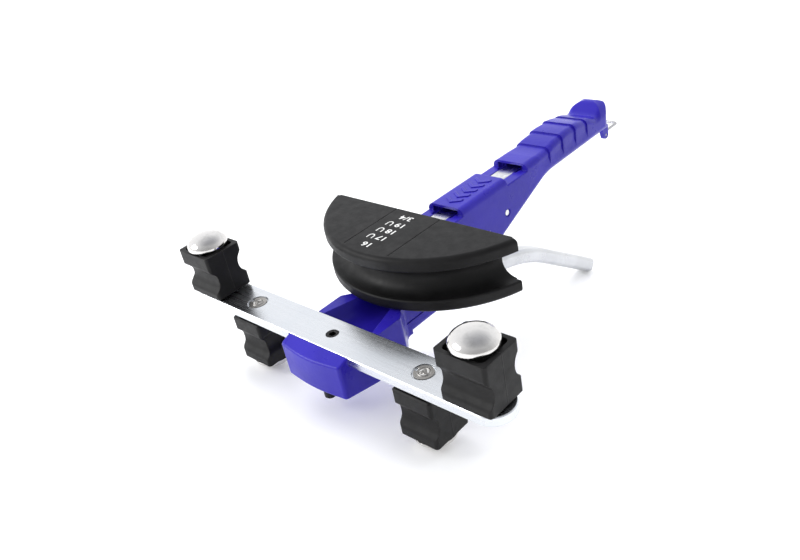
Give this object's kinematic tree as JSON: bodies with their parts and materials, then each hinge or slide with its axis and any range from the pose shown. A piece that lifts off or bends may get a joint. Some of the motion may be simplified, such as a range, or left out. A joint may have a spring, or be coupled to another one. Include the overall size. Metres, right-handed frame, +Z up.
{
  "type": "hand ratchet tube bender",
  "caption": "One-hand ratchet bender: a lever walks a toothed bar and half-round former against grooved swivel blocks on a cross bar to bend tube.",
  "frame": {"origin": "on the floor, below the middle of the tool's bounding box, with the tool resting on its two lower domes and its lever's tip", "axes": "+Z up from the floor, +X along the cross bar, +Y from the cross bar towards the end of the grip"},
  "size_m": [0.257, 0.3282, 0.1437],
  "materials": {
    "blue_paint": "gloss enamel over a casting",
    "plated_steel": "satin zinc plate",
    "chrome_dome": "polished",
    "black_nylon": "moulded, matt",
    "rack_steel": "ground and polished",
    "black_oxide": "black oxide",
    "lever_metal": "satin nickel plate",
    "spring_steel": "drawn wire",
    "pin_steel": "ground",
    "pawl_steel": "hardened, oiled",
    "loop_wire": "zinc-plated wire",
    "washer_plastic": "matt nylon"
  },
  "bodies": {
    "frame": {"body_casting": "blue_paint", "cross_bar": "plated_steel", "domed_pins": "chrome_dome", "retaining_rings": "black_oxide", "block_washers": "washer_plastic", "centre_screw": "black_oxide", "anchor_screw": "black_oxide", "lever_pivot_pin": "pin_steel", "holding_pawl_pin": "pin_steel", "kick_off_pin": "pin_steel", "holding_pawl_spring": "spring_steel"},
    "carriage": {"rack_bar": "rack_steel", "former_holder": "rack_steel", "forming_former": "black_nylon", "detent_ball": "pin_steel", "holder_pin": "pin_steel"},
    "hand_lever": {"lever": "lever_metal", "drive_pawl_pin": "pin_steel", "lever_spring": "spring_steel"},
    "drive": {"drive_pawl": "pawl_steel", "drive_pawl_spring": "spring_steel"},
    "catch": {"holding_pawl": "pawl_steel"},
    "top_right": {"top_right_block": "black_nylon"},
    "top_left": {"top_left_block": "black_nylon"},
    "low_right": {"low_right_block": "black_nylon"},
    "low_left": {"low_left_block": "black_nylon"},
    "loop": {"keeper_loop": "loop_wire"}
  },
  "joints": [
    {"name": "rack_slide", "type": "slide", "parent": "frame", "child": "carriage", "axis": [0, -0.977, -0.2133], "range_m": [0, 0.108]},
    {"name": "lever_pivot", "type": "hinge", "parent": "frame", "child": "hand_lever", "pos_m": [0, -0.02107, 0.06912], "axis": [1, 0, 0], "range_deg": [0, 30], "stiffness_Nm_per_rad": 1, "springref_deg": -68.75},
    {"name": "drive_pawl_pivot", "type": "hinge", "parent": "hand_lever", "child": "drive", "pos_m": [0, -0.01989, 0.08005], "axis": [1, 0, 0], "range_deg": [-30, 0]},
    {"name": "holding_pawl_pivot", "type": "hinge", "parent": "frame", "child": "catch", "pos_m": [0, 0.00731, 0.08586], "axis": [1, 0, 0], "range_deg": [0, 8], "stiffness_Nm_per_rad": 0.05, "springref_deg": -20.05},
    {"name": "top_right_swivel", "type": "hinge", "parent": "frame", "child": "top_right", "pos_m": [0.11, -0.1452, 0.05634], "axis": [0, -0.2133, 0.977], "continuous": true},
    {"name": "top_left_swivel", "type": "hinge", "parent": "frame", "child": "top_left", "pos_m": [-0.11, -0.1452, 0.05634], "axis": [0, -0.2133, 0.977], "continuous": true},
    {"name": "low_right_swivel", "type": "hinge", "parent": "frame", "child": "low_right", "pos_m": [0.0712, -0.13966, 0.03094], "axis": [0, -0.2133, 0.977], "continuous": true},
    {"name": "low_left_swivel", "type": "hinge", "parent": "frame", "child": "low_left", "pos_m": [-0.0712, -0.13966, 0.03094], "axis": [0, -0.2133, 0.977], "continuous": true},
    {"name": "loop_pivot", "type": "hinge", "parent": "frame", "child": "loop", "pos_m": [0, 0.13957, 0.11627], "axis": [1, 0, 0], "range_deg": [-100, 40]}
  ],
  "couplings": [
    {"joint": "drive_pawl_pivot", "follows": "lever_pivot", "ratio": -1}
  ]
}
